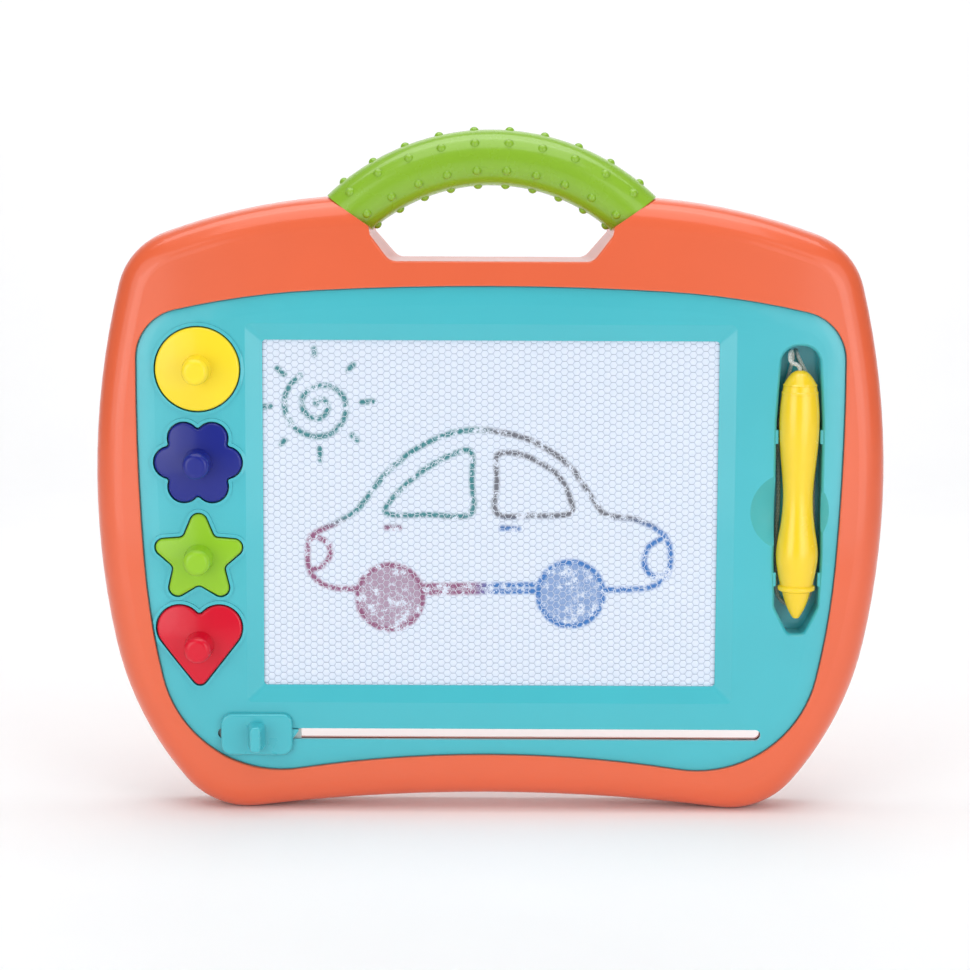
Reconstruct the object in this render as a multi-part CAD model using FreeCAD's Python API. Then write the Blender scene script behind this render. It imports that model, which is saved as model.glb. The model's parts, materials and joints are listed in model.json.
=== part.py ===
import FreeCAD, Part
import math
import os

from FreeCAD import Vector

os.makedirs("parts", exist_ok=True)

# Child's magnetic drawing board. Millimetres, +Z up, the front looks along -Y.
# The origin is the middle of the footprint, on the ground under the two bottom lobes.

# ---- case: front frame and rear cover, each outline half a chain of (radius, turn in degrees) arcs
FRONT_Y = -15.0
PARTING_Y = 0.0
BACK_Y = 13.0
WALL = 2.2
FRONT_ROUND = 12.0
BACK_ROUND = 5.0
GAP_EDGE_ROUND = 1.0
WINDOW_EDGE_ROUND = 0.6
SEAM_CHAMFER = 0.35
CASE_ARCS = [(804.0, -7.2), (36.0, 57.2), (140.0, 28.2), (345.0, 26.0), (31.0, 55.6), (263.0, 15.0)]
CASE_BOTTOM = (CASE_ARCS[0][0] + CASE_ARCS[1][0]) * (1.0 - math.cos(math.radians(CASE_ARCS[0][1])))

# ---- teal panel that carries the screen, the stamps, the slider slot and the pen recess
PANEL_ARCS = [(538.0, -8.8), (52.0, 85.9), (332.0, 8.8), (1080.0, 4.7), (21.0, 76.4), (356.0, 9.8)]
PANEL_BOTTOM = 26.0
PANEL_Y = -14.2
PANEL_THICK = 2.2
PANEL_BACK = PANEL_Y + PANEL_THICK
PANEL_GAP = 0.5
PANEL_CROWN_RUN = 7.5
PANEL_CROWN_DROP = 0.9
PANEL_CROWN_STEPS = 4
JOIN = 0.6
FLANGE_REACH = 2.6
FLANGE_FRONT = FRONT_Y + 2.6
FLANGE_BACK = FLANGE_FRONT + 1.8
FLANGE_OVERLAP = 1.0
PAD_R = 3.0
LUG_R = 6.0
LUG_THICK = 1.6
LUG_INSET = 7.0
POST_R = 2.6

# ---- finger gap between the handle and the case, and the two mouths that hold the grip
GAP_FLOOR = 240.2
GAP_FRONT = (43.3, 51.5, 52.3)
GAP_BACK = (40.2, 49.8, 50.4)
GAP_KNEE = 251.2
GAP_CORNER = 5.5
MOUTH_PLACE = (49.4, 253.0)
MOUTH_SLOPE = 34.4
MOUTH_REACH = 45.0

# ---- handle grip
GRIP_CENTRE_Z = 194.0
GRIP_CENTRE_Y = 0.5 * (FRONT_Y + BACK_Y)
GRIP_ARC = 89.5
GRIP_R = 11.9
SPIGOT_R = 8.0
SPIGOT_END = 54.0
COLLAR_R = 9.8
COLLAR_ARC = 1.6
SOCKET_CLEARANCE = 0.2
BUMP_R = 2.06
BUMP_HEIGHT = 1.4
BUMP_PITCH = 8.6
BUMPS_PER_SIDE = 5
BUMP_ROWS = 6
BUMP_FIRST_ROW = 35.0

# ---- screen: film, honeycomb core and film, clamped behind the panel's window
WINDOW_HALF = 97.7
WINDOW_LOW = 55.8
WINDOW_HIGH = 206.2
WINDOW_CORNER = 1.5
BEZEL_RUN = 7.2
BEZEL_LIP_Y = PANEL_Y + 2.6
SCREEN_Y = -10.6
FILM_THICK = 0.4
CORE_THICK = 1.4
SCREEN_MARGIN = 3.6
SCREEN_BACK = SCREEN_Y + 2.0 * FILM_THICK + CORE_THICK
CLAMP_THICK = 1.8
CLAMP_HALF = 100.0
CLAMP_HEIGHT = 8.6
CLAMP_OVERLAP = 1.6
CLAMP_SCREW_OFFSET = 3.6
CLAMP_SCREW_X = (-84.0, -28.0, 28.0, 84.0)
CLAMP_BACK = SCREEN_BACK + CLAMP_THICK

# ---- slot, slider and eraser
SLOT_Z = 34.7
SLOT_HALF = 117.8
SLOT_HEIGHT = 4.8
REAR_SLOT_Z = 33.4
REAR_SLOT_HEIGHT = 12.0
REAR_SLOT_HALF = 119.5
SLIDER_X = -100.8
NECK_WIDTH = 30.9
NECK_HEIGHT = 4.2
NECK_SHIFT = 1.55
NECK_SLANT = 3.0
KNOB_SCREW_OFFSET = 10.0
BAR_SCREW_OFFSET = 4.0
PLATE_SIZE = (31.0, 18.2)
PLATE_CORNER = 4.5
PLATE_THICK = 2.8
RIB_BASE = (8.3, 12.4)
RIB_TIP = (4.4, 11.4)
RIB_DROP = 0.4
RIB_PROUD = 9.0
CARRIAGE_SIZE = (38.0, 12.6)
CARRIAGE_CORNER = 4.0
CARRIAGE_BLOCK = 14.0
CARRIAGE_FRONT = PANEL_BACK + 0.3
CARRIAGE_BACK = CARRIAGE_FRONT + 2.5
BAR_WIDTH = 12.0
BAR_FRONT = -4.6
BAR_BACK = -0.8
BAR_TOP = 223.0
MAGNET_WIDTH = 7.0
MAGNET_FRONT = SCREEN_BACK + 0.3
MAGNET_BACK = MAGNET_FRONT + 2.2
MAGNET_LOW = WINDOW_LOW + 1.8
MAGNET_HIGH = WINDOW_HIGH - 1.8
SHOE_SIZE = (20.0, 6.0)
SHOE_BACK = 10.2
GUIDE_GAP = 6.6
GUIDE_HALF = 114.0
GUIDE_WALL = 1.6
GUIDE_FRONT = 4.0

# ---- stamps, in a column left of the screen
STAMP_X = -125.3
STAMP_Z = {"circle": 193.7, "flower": 153.5, "star": 111.8, "heart": 73.8}
STAMP_BASE = -10.0
STAMP_APEX = -16.8
STAMP_DOME_R = 95.0
STAMP_EDGE_ROUND = 1.2
CIRCLE_R = 18.0
PETALS = 6
PETAL_R = 6.64
PETAL_REACH = 12.1
PETAL_FILLET = 1.7
STAR_TIP = 25.2
STAR_NOTCH = 11.3
STAR_TIP_ROUND = 3.6
STAR_NOTCH_ROUND = 3.0
HEART_LOBE_R = 9.75
HEART_LOBE_X = 8.6
HEART_LOBE_Z = 7.7
HEART_TIP = 27.0
HEART_TIP_ROUND = 3.0
HEART_NOTCH_ROUND = 2.0
POCKET_CLEARANCE = 0.6
POCKET_FLOOR = -9.7
POCKET_WALL = 1.6
RIM_WIDTH = 1.4
RIM_PROUD = 0.6
RIM_ROOT = 1.4
RIM_INSET = 0.3
KNOB_BASE_R = 6.45
KNOB_TIP_R = 5.55
KNOB_HEIGHT = 11.0
STAMP_MAGNET_THICK = 1.5
STAMP_MAGNET_INSET = 1.6

# ---- pen and its recess, right of the screen
PEN_X = 132.2
PEN_Y = -12.6
PEN_TOP = 194.2
RECESS_FLOOR = -1.8
RECESS_WALL = 1.6
RECESS_RIM = [(1.7, -0.3), (0.8, 0.2), (0.3, 0.7), (0.03, 1.7)]
RECESS_HALF = [(7.9, 204.6), (9.7, 172.0), (10.0, 112.0), (9.4, 97.0), (9.4, 91.5), (3.4, 79.7)]
RECESS_ROUNDS = [7.5, 30.0, 30.0, 6.0, 3.0, 3.0]
SCOOP_X = 128.7
SCOOP_Z = 133.0
SCOOP_R = 17.0
SCOOP_DEPTH = 6.5
CLIP_HEIGHTS = (165.5, 103.5)
CLIP_SIZE = (1.6, 2.8, 6.0)
CLIP_INNER = 8.85
CAP_SEAM = 184.0
NECK_Z = 99.8
PEN_TIP = 86.5
BARREL_BORE = 4.4
CAP_PLUG = 9.0
BARREL_CURVE = [(7.75, 184.0), (8.6, 173.0), (7.95, 158.0), (6.45, 140.0),
                (7.5, 126.0), (9.05, 114.0), (8.1, 106.0), (7.1, 101.2)]
COLLAR_CURVE = [(7.8, NECK_Z + 0.9), (8.1, NECK_Z), (7.8, NECK_Z - 0.9)]
COLLAR_END_R = (7.1, 6.4)
NOSE_CURVE = [(6.1, 98.2), (5.3, 95.0), (3.6, 90.5), (1.9, 87.4)]

# ---- the cord that tethers the pen: from a knot behind the recess's floor to the pen's tail
CORD_D = 1.8
CORD_HOLE = (131.1, 201.3)
CORD_HOLE_R = 1.1
PEN_MAGNET_SIZE = (1.45, 8.0)
KNOT_R = 2.4
KNOT_FACE = RECESS_FLOOR + RECESS_WALL
CORD_ROUTE = [(131.1, KNOT_FACE, 201.3), (131.1, -4.2, 201.3), (132.6, -4.8, 197.6), (136.6, -3.6, 190.5),
              (139.8, -2.9, 178.5), (140.4, -2.8, 158.0), (139.4, -2.8, 138.0), (140.4, -2.8, 119.0),
              (139.8, -2.8, 105.5), (139.9, -2.8, 95.2), (135.6, -2.8, 90.2), (129.0, -2.8, 90.1),
              (124.4, -2.8, 94.9), (124.3, -2.8, 105.0), (123.8, -2.8, 120.0), (125.0, -2.8, 139.0),
              (123.9, -2.8, 159.0), (124.9, -2.9, 178.0), (127.9, -3.6, 190.6), (129.6, -5.8, 198.4),
              (128.8, -8.4, 202.2), (127.6, -12.0, 201.4), (127.6, -13.6, 197.6), (131.0, -13.2, 196.6),
              (132.2, -12.6, 194.6)]

# ---- fasteners
SCREW_R = 1.45
SCREW_HEAD_R = 2.7
BOSS_R = 3.6
CASE_SCREWS = [(0.0, 15.6)] + [(side * x, z) for side in (-1.0, 1.0)
                               for x, z in ((160.5, 150.0), (150.2, 62.0), (108.0, 11.5),
                                            (146.0, 231.0), (58.0, 242.0))]
PANEL_SCREWS = [(side * x, z) for side in (-1.0, 1.0)
                for x, z in ((75.0, 234.0), (125.0, 227.5), (158.0, 185.0),
                             (155.6, 110.0), (84.0, 12.8), (35.0, 17.8))]
SMALL_SCREW_R = 1.0
SMALL_HEAD_R = 2.0
PILOT_CUT = 0.1
HOLE_CLEARANCE = 0.15
CASE_SCREW_SEAT = 6.5


def arc_outline(arcs, bottom, inset=0.0):
    """Closed outline in the XZ plane: tangent arcs from the bottom centre to the top, and their mirror."""
    x, z, heading = 0.0, bottom + inset, 0.0
    right = []
    turned = math.radians(sum(turn for _, turn in arcs))
    for radius, turn in arcs + [(None, math.degrees(math.pi - turned))]:
        angle = math.radians(turn)
        side = math.copysign(1.0, angle)
        reach = x / math.sin(heading) if radius is None else radius - side * inset
        centre_x = x - side * reach * math.sin(heading)
        centre_z = z + side * reach * math.cos(heading)
        ends = [(centre_x + side * reach * math.sin(heading + part * angle),
                 centre_z - side * reach * math.cos(heading + part * angle)) for part in (0.0, 0.5, 1.0)]
        right.append(ends)
        x, z = ends[2]
        heading += angle
    left = [[(-px, pz) for px, pz in reversed(ends)] for ends in reversed(right)]
    edges = [Part.Arc(*[Vector(px, 0, pz) for px, pz in ends]).toShape() for ends in right + left]
    return Part.Wire(edges)


def rounded_polygon(points, radii):
    """Closed outline in the XZ plane with each corner rounded to its radius; 0 leaves it sharp."""
    corners = [Vector(x, 0, z) for x, z in points]
    stations = []
    for i, (corner, radius) in enumerate(zip(corners, radii)):
        before = (corners[i - 1] - corner).normalize()
        after = (corners[(i + 1) % len(corners)] - corner).normalize()
        if radius == 0:
            stations.append((corner, None, corner))
            continue
        half = 0.5 * before.getAngle(after)
        cut = radius / math.tan(half)
        middle = corner + (before + after).normalize() * (radius / math.sin(half) - radius)
        stations.append((corner + before * cut, middle, corner + after * cut))
    edges = []
    for i, (start, middle, end) in enumerate(stations):
        if middle is not None:
            edges.append(Part.Arc(start, middle, end).toShape())
        following = stations[(i + 1) % len(stations)][0]
        if (following - end).Length > 1e-6:
            edges.append(Part.LineSegment(end, following).toShape())
    return Part.Wire(edges)


def rectangle(centre_x, centre_z, width, height, corner=0.0):
    """Rectangle outline with rounded corners."""
    x0, x1 = centre_x - 0.5 * width, centre_x + 0.5 * width
    z0, z1 = centre_z - 0.5 * height, centre_z + 0.5 * height
    return rounded_polygon([(x0, z0), (x1, z0), (x1, z1), (x0, z1)], [corner] * 4)


def grown(outline, distance):
    """The outline moved outwards by a distance, or inwards if it is negative."""
    return outline.makeOffset2D(distance)


def prism(outline, y0, y1):
    """Solid between two depths with the outline as its section."""
    face = Part.Face(outline)
    face.translate(Vector(0, y0, 0))
    return face.extrude(Vector(0, y1 - y0, 0))


def rod(x, z, radius, y0, y1):
    """Round bar along Y."""
    return Part.makeCylinder(radius, y1 - y0, Vector(x, y0, z), Vector(0, 1, 0))


def edges_at(solid, y):
    """Edges that lie whole at one depth."""
    return [edge for edge in solid.Edges
            if abs(edge.BoundBox.YMin - y) < 1e-4 and abs(edge.BoundBox.YMax - y) < 1e-4]


def rounded_prism(outline, y0, y1, round_y, radius):
    """Prism whose edge at one of its two depths is rounded."""
    solid = prism(outline, y0, y1)
    return solid.makeFillet(radius, edges_at(solid, round_y))


def fuse(shapes):
    """One shape from several that overlap or touch."""
    return shapes[0].multiFuse(shapes[1:]).removeSplitter()


def save(node, shape):
    """Write one node's STEP file and print what is in it."""
    if not shape.isValid():
        raise ValueError(node + " isn't valid")
    shape.exportStep("parts/" + node + ".step")
    box = shape.BoundBox
    print("%-22s solids %2d  volume %9.1f  x %7.1f %7.1f  y %6.1f %6.1f  z %6.1f %6.1f" % (
        node, len(shape.Solids), shape.Volume, box.XMin, box.XMax, box.YMin, box.YMax, box.ZMin, box.ZMax))


# ---- the case

def gap_outline(widths, margin=0.0):
    """Section of the finger gap: a floor, two leaning walls, and two faces that the grip's ends butt on."""
    floor_x, knee_x, mouth_x = widths
    slope = math.radians(MOUTH_SLOPE)
    outer_x = MOUTH_PLACE[0] + MOUTH_REACH * math.cos(slope)
    outer_z = MOUTH_PLACE[1] + MOUTH_REACH * math.sin(slope)
    mouth_z = outer_z - (outer_x - mouth_x) * math.tan(slope)
    right = [(floor_x, GAP_FLOOR), (knee_x, GAP_KNEE), (mouth_x, mouth_z), (outer_x, outer_z),
             (outer_x, outer_z + MOUTH_REACH)]
    points = right + [(-x, z) for x, z in reversed(right)]
    radii = [GAP_CORNER] + [0.0] * (len(points) - 2) + [GAP_CORNER]
    outline = rounded_polygon(points, radii)
    return grown(outline, margin) if margin else outline


def gap_cutter(margin=0.0):
    """Solid of the finger gap through the whole case, a little narrower at the back."""
    sections = []
    for y, widths in ((FRONT_Y, GAP_FRONT), (BACK_Y, GAP_BACK)):
        section = gap_outline(widths, margin)
        section.translate(Vector(0, y, 0))
        sections.append(section)
    return Part.makeLoft(sections, True, True)


def arc_bar(radius, first, last):
    """Round bar along the handle's arc, between two angles from the top, in degrees."""
    circle = Part.makeCircle(radius, Vector(0, GRIP_CENTRE_Y, GRIP_CENTRE_Z + GRIP_ARC), Vector(1, 0, 0))
    face = Part.Face(Part.Wire(circle))
    axis_point = Vector(0, GRIP_CENTRE_Y, GRIP_CENTRE_Z)
    face.rotate(axis_point, Vector(0, 1, 0), first)
    return face.revolve(axis_point, Vector(0, 1, 0), last - first)


def socket_cutter():
    """Space that the two spigots of the grip take in the case's end walls."""
    end = SPIGOT_END - COLLAR_ARC - SOCKET_CLEARANCE
    return arc_bar(SPIGOT_R + SOCKET_CLEARANCE, -end, end)


def case_shell(y0, y1, outer_y, outer_round, cavity_y):
    """One half of the case: a shell that is open at the parting line and cut by the finger gap."""
    outer = rounded_prism(arc_outline(CASE_ARCS, CASE_BOTTOM), y0, y1, outer_y, outer_round)
    outer = outer.makeChamfer(SEAM_CHAMFER, edges_at(outer, PARTING_Y))
    outer = outer.cut(gap_cutter())
    low, high = sorted((cavity_y, PARTING_Y))
    inner = rounded_prism(arc_outline(CASE_ARCS, CASE_BOTTOM, WALL), low, high, cavity_y, outer_round - WALL)
    inner = inner.cut(gap_cutter(WALL))
    return outer.cut(inner).cut(socket_cutter())


def case_bosses(y0, y1):
    """Posts for the case screws between two depths."""
    return [rod(x, z, BOSS_R, y0, y1) for x, z in CASE_SCREWS]


def front_frame():
    """Front half of the case: the rounded border with a window for the panel."""
    shell = case_shell(FRONT_Y, PARTING_Y, FRONT_Y, FRONT_ROUND, FLANGE_FRONT)
    reach = GAP_FRONT[1] + 0.1
    gap_edges = [edge for edge in edges_at(shell, FRONT_Y) if edge.BoundBox.ZMin > GAP_FLOOR - 0.1
                 and edge.BoundBox.XMax < reach and edge.BoundBox.XMin > -reach]
    shell = shell.makeFillet(GAP_EDGE_ROUND, gap_edges)
    window = grown(arc_outline(PANEL_ARCS, PANEL_BOTTOM), PANEL_GAP)
    frame = shell.cut(prism(window, FRONT_Y - 1.0, FLANGE_FRONT + 1.0))
    rim = [edge for edge in edges_at(frame, FRONT_Y) if edge.BoundBox.ZMax < GAP_FLOOR - 1.0
           or edge.BoundBox.ZMin < PANEL_BOTTOM]
    frame = frame.makeFillet(WINDOW_EDGE_ROUND, rim)
    pads = [rod(x, z, PAD_R, FLANGE_FRONT - JOIN, FLANGE_BACK) for x, z in PANEL_SCREWS]
    frame = fuse([frame] + case_bosses(FLANGE_FRONT - JOIN, PARTING_Y) + pads)
    holes = [rod(x, z, SCREW_R - 0.25, FLANGE_FRONT + 2.0, PARTING_Y + 1.0) for x, z in CASE_SCREWS]
    holes += [rod(x, z, SMALL_SCREW_R, FRONT_Y + 1.2, FLANGE_BACK + 1.0) for x, z in PANEL_SCREWS]
    return frame.cut(Part.makeCompound(holes))


def rear_cover():
    """Rear half of the case: posts and wells for the screws, the see-through slot and the eraser's guide."""
    shell = case_shell(PARTING_Y, BACK_Y, BACK_Y, BACK_ROUND, BACK_Y - WALL)
    inside = BACK_Y - WALL + 0.2
    ribs = []
    for side in (-1.0, 1.0):
        middle = BAR_TOP - 0.5 * SHOE_SIZE[1] + side * 0.5 * (GUIDE_GAP + GUIDE_WALL)
        ribs.append(prism(rectangle(0.0, middle, 2.0 * GUIDE_HALF, GUIDE_WALL), GUIDE_FRONT, inside))
    slot = rectangle(0.0, REAR_SLOT_Z, 2.0 * REAR_SLOT_HALF, REAR_SLOT_HEIGHT, 2.5)
    cover = fuse([shell] + ribs + case_bosses(PARTING_Y, inside))
    cover = cover.cut(prism(slot, PARTING_Y, BACK_Y + 1.0))
    cuts = []
    for x, z in CASE_SCREWS:
        cuts.append(rod(x, z, SCREW_R + HOLE_CLEARANCE, PARTING_Y - 1.0, BACK_Y + 1.0))
        cuts.append(rod(x, z, SCREW_HEAD_R + 0.2, PARTING_Y + CASE_SCREW_SEAT, BACK_Y + 1.0))
    return cover.cut(Part.makeCompound(cuts))


def screw(x, z, seat, tip, radius, head_radius):
    """Pan-head screw that faces the back: shank from its tip to the seat, domed head with a cross recess."""
    height = 0.7 * head_radius
    head = rod(x, z, head_radius, seat, seat + height)
    head = head.makeFillet(0.45 * height, edges_at(head, seat + height))
    arm = 1.1 * head_radius
    slit = 0.22 * head_radius
    for width, tall in ((arm, slit), (slit, arm)):
        corner = Vector(x - 0.5 * width, seat + 0.5 * height, z - 0.5 * tall)
        head = head.cut(Part.makeBox(width, height, tall, corner))
    return head.fuse(rod(x, z, radius, tip, seat)).removeSplitter()


def case_screws():
    """Screws that hold the two halves of the case together."""
    seat = PARTING_Y + CASE_SCREW_SEAT
    return Part.makeCompound([screw(x, z, seat, FLANGE_FRONT + 2.6, SCREW_R - 0.25, SCREW_HEAD_R)
                              for x, z in CASE_SCREWS])


# ---- the handle

def handle_grip():
    """Curved grip with rounded bumps, a spigot and a collar at each end."""
    body = arc_bar(GRIP_R, -SPIGOT_END, SPIGOT_END).common(gap_cutter())
    spigots = arc_bar(SPIGOT_R, -SPIGOT_END, SPIGOT_END)
    collars = [arc_bar(COLLAR_R, -SPIGOT_END, COLLAR_ARC - SPIGOT_END),
               arc_bar(COLLAR_R, SPIGOT_END - COLLAR_ARC, SPIGOT_END)]
    return fuse([body, spigots] + collars).multiFuse(grip_bumps())


def grip_bumps():
    """Domes in rows round the grip, evenly spaced along its arc."""
    bumps = []
    reach = GRIP_R + BUMP_HEIGHT - BUMP_R
    for row in range(BUMP_ROWS):
        around = math.radians(BUMP_FIRST_ROW + row * 360.0 / BUMP_ROWS)
        depth = GRIP_CENTRE_Y - reach * math.cos(around)
        arm = GRIP_ARC + reach * math.sin(around)
        for step in range(-BUMPS_PER_SIDE, BUMPS_PER_SIDE):
            along = math.radians((step + 0.5) * BUMP_PITCH)
            centre = Vector(arm * math.sin(along), depth, GRIP_CENTRE_Z + arm * math.cos(along))
            bumps.append(Part.makeSphere(BUMP_R, centre))
    return bumps


# ---- the panel

def bezel_cutter():
    """Sloped sides that sink from the panel's face to the screen window, and the window itself."""
    middle = 0.5 * (WINDOW_LOW + WINDOW_HIGH)
    height = WINDOW_HIGH - WINDOW_LOW
    inner = rectangle(0.0, middle, 2.0 * WINDOW_HALF, height, WINDOW_CORNER)
    over = 1.0
    run = BEZEL_RUN * (1.0 + over / (BEZEL_LIP_Y - PANEL_Y))
    front = rectangle(0.0, middle, 2.0 * (WINDOW_HALF + run), height + 2.0 * run, WINDOW_CORNER + 1.0)
    front.translate(Vector(0, PANEL_Y - over, 0))
    back = inner.copy()
    back.translate(Vector(0, BEZEL_LIP_Y, 0))
    return Part.makeLoft([front, back], True, True).fuse(prism(inner, BEZEL_LIP_Y - 0.5, SCREEN_BACK))


def screen_outline(margin=0.0):
    """Edge of the screen's three layers."""
    height = WINDOW_HIGH - WINDOW_LOW + 2.0 * (SCREEN_MARGIN + margin)
    return rectangle(0.0, 0.5 * (WINDOW_LOW + WINDOW_HIGH), 2.0 * (WINDOW_HALF + SCREEN_MARGIN + margin), height)


def screen_tray():
    """Thicker border of the panel round the window, with a rib that locates the screen's edge."""
    width = 2.0 * (WINDOW_HALF + BEZEL_RUN + 1.2)
    height = WINDOW_HIGH - WINDOW_LOW + 2.0 * (BEZEL_RUN + 1.2)
    border = prism(rectangle(0.0, 0.5 * (WINDOW_LOW + WINDOW_HIGH), width, height, 3.0), PANEL_Y + 0.8, SCREEN_Y)
    rib = prism(screen_outline(1.5), SCREEN_Y - 0.5, SCREEN_BACK)
    rib = rib.cut(prism(screen_outline(0.3), SCREEN_Y, SCREEN_BACK + 1.0))
    return border.fuse(rib)


def clamp_screw_places():
    """Positions of the screws in the two clamps."""
    low = WINDOW_LOW - SCREEN_MARGIN - CLAMP_SCREW_OFFSET
    high = WINDOW_HIGH + SCREEN_MARGIN + CLAMP_SCREW_OFFSET
    return [(x, z) for z in (low, high) for x in CLAMP_SCREW_X]


def recess_outline():
    """Edge of the pen recess, following the pen."""
    right = [(PEN_X + half, z) for half, z in RECESS_HALF]
    left = [(PEN_X - half, z) for half, z in reversed(RECESS_HALF)]
    return rounded_polygon(right + left, RECESS_ROUNDS + RECESS_ROUNDS[::-1])


def scoop(margin):
    """Ball that dishes the panel for finger and thumb beside the pen's waist."""
    radius = (SCOOP_R ** 2 + SCOOP_DEPTH ** 2) / (2.0 * SCOOP_DEPTH)
    return Part.makeSphere(radius + margin, Vector(SCOOP_X, PANEL_Y + SCOOP_DEPTH - radius, SCOOP_Z))


def recess_cutter():
    """Hollow of the pen recess, with a mouth that flares softly to the panel's face."""
    sections = []
    for reach, depth in RECESS_RIM:
        section = grown(recess_outline(), reach)
        section.translate(Vector(0, PANEL_Y + depth, 0))
        sections.append(section)
    return prism(recess_outline(), PANEL_Y - 3.0, RECESS_FLOOR).fuse(Part.makeLoft(sections, True, False))


def recess_cup():
    """Walls behind the pen recess and the scoop."""
    front = PANEL_BACK - JOIN
    cup = prism(grown(recess_outline(), RECESS_WALL), front, RECESS_FLOOR + RECESS_WALL)
    span = 2.0 * SCOOP_R + 12.0
    slab = prism(rectangle(SCOOP_X, SCOOP_Z, span, span), front, PARTING_Y)
    return cup.fuse(scoop(RECESS_WALL).common(slab))


def recess_clips():
    """Small ribs that stand out of the recess's walls and hold the pen in."""
    depth, tall, wide = CLIP_SIZE[1], CLIP_SIZE[2], CLIP_SIZE[0]
    clips = []
    for z in CLIP_HEIGHTS:
        for side in (-1.0, 1.0):
            inner = PEN_X + side * CLIP_INNER
            corner = Vector(min(inner, inner + side * wide), PANEL_Y + 0.5, z - 0.5 * tall)
            clip = Part.makeBox(wide, depth, tall, corner)
            inner_edges = [edge for edge in clip.Edges
                           if abs(edge.BoundBox.XMin - inner) < 1e-4 and abs(edge.BoundBox.XMax - inner) < 1e-4]
            clips.append(clip.makeFillet(0.5, inner_edges))
    return clips


def panel_plate():
    """Plate of the panel, with a face that curves gently back along its edge."""
    sections = []
    for step in range(PANEL_CROWN_STEPS + 1):
        part = step / PANEL_CROWN_STEPS
        section = arc_outline(PANEL_ARCS, PANEL_BOTTOM, PANEL_CROWN_RUN * (1.0 - part))
        section.translate(Vector(0, PANEL_Y + PANEL_CROWN_DROP * part ** 2, 0))
        sections.append(section)
    crown = Part.makeLoft(sections, True, False)
    plate = prism(arc_outline(PANEL_ARCS, PANEL_BOTTOM), PANEL_Y + PANEL_CROWN_DROP, PANEL_BACK)
    return plate.fuse(crown).removeSplitter()


def panel_flange():
    """Flange behind the frame's window, with the lugs that its screws go through."""
    outline = arc_outline(PANEL_ARCS, PANEL_BOTTOM)
    flange = prism(grown(outline, FLANGE_REACH), FLANGE_FRONT, FLANGE_BACK)
    flange = flange.cut(prism(grown(outline, -FLANGE_OVERLAP), FLANGE_FRONT - 1.0, FLANGE_BACK + 1.0))
    inside = prism(arc_outline(CASE_ARCS, CASE_BOTTOM, LUG_INSET), FLANGE_FRONT, PARTING_Y)
    lugs = [rod(x, z, LUG_R, FLANGE_BACK, FLANGE_BACK + LUG_THICK).common(inside) for x, z in PANEL_SCREWS]
    return [flange] + lugs


def stamp_pocket(name):
    """Raised rim round a stamp's pocket, and the pocket's walls and floor behind the plate."""
    rim = prism(grown(stamp_outline(name), POCKET_CLEARANCE + RIM_WIDTH), PANEL_Y - RIM_PROUD, PANEL_Y + RIM_ROOT)
    cup = prism(grown(stamp_outline(name), POCKET_CLEARANCE + POCKET_WALL), PANEL_BACK - JOIN,
                POCKET_FLOOR + POCKET_WALL)
    room = prism(arc_outline(PANEL_ARCS, PANEL_BOTTOM, RIM_INSET), FRONT_Y - 1.0, PARTING_Y)
    return [rim.common(room), cup.common(room)]


def panel_holes():
    """Holes for the cord, for the panel's own screws and for the clamps' screws."""
    x, z = CORD_HOLE
    holes = [rod(x, z, CORD_HOLE_R, RECESS_FLOOR - 1.0, RECESS_FLOOR + RECESS_WALL + 1.0)]
    holes += [rod(x, z, SMALL_SCREW_R + HOLE_CLEARANCE, FLANGE_BACK - 0.1, FLANGE_BACK + LUG_THICK + 1.0)
              for x, z in PANEL_SCREWS]
    holes += [rod(x, z, SMALL_SCREW_R, PANEL_BACK - JOIN, SCREEN_BACK + 1.0) for x, z in clamp_screw_places()]
    return holes


def front_panel():
    """Teal moulding: screen window, stamp pockets, slider slot, pen recess, flange and lugs."""
    solids = [panel_plate(), screen_tray(), recess_cup()] + panel_flange()
    solids += [rod(x, z, POST_R, PANEL_BACK - JOIN, SCREEN_BACK) for x, z in clamp_screw_places()]
    cuts = [bezel_cutter(), scoop(0.0), recess_cutter()]
    for name in STAMP_Z:
        solids += stamp_pocket(name)
        cuts.append(prism(grown(stamp_outline(name), POCKET_CLEARANCE), PANEL_Y - 3.0, POCKET_FLOOR))
    slot = rectangle(0.0, SLOT_Z, 2.0 * SLOT_HALF, SLOT_HEIGHT, 0.5 * SLOT_HEIGHT - 0.01)
    cuts.append(prism(slot, PANEL_Y - 1.0, PANEL_BACK + 1.0))
    panel = fuse(solids)
    for cutter in cuts + panel_holes():
        panel = panel.cut(cutter)
    return fuse([panel] + recess_clips())


def panel_screws():
    """Screws that hold the panel's lugs to the frame."""
    seat = FLANGE_BACK + LUG_THICK
    return Part.makeCompound([screw(x, z, seat, FRONT_Y + 1.5, SMALL_SCREW_R - PILOT_CUT, SMALL_HEAD_R)
                              for x, z in PANEL_SCREWS])


# ---- the screen

def screen_layer(y0, y1):
    """One layer of the screen."""
    return prism(screen_outline(), y0, y1)


def screen_clamp(top):
    """Flat bar screwed over the screen's top or bottom edge."""
    edge = WINDOW_HIGH + SCREEN_MARGIN if top else WINDOW_LOW - SCREEN_MARGIN
    away = 1.0 if top else -1.0
    middle = edge + away * (0.5 * CLAMP_HEIGHT - CLAMP_OVERLAP)
    bar = prism(rectangle(0.0, middle, 2.0 * CLAMP_HALF, CLAMP_HEIGHT, 2.0), SCREEN_BACK, CLAMP_BACK)
    for x in CLAMP_SCREW_X:
        bar = bar.cut(rod(x, edge + away * CLAMP_SCREW_OFFSET, SMALL_SCREW_R + HOLE_CLEARANCE,
                          SCREEN_BACK - 1.0, CLAMP_BACK + 1.0))
    return bar


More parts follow.
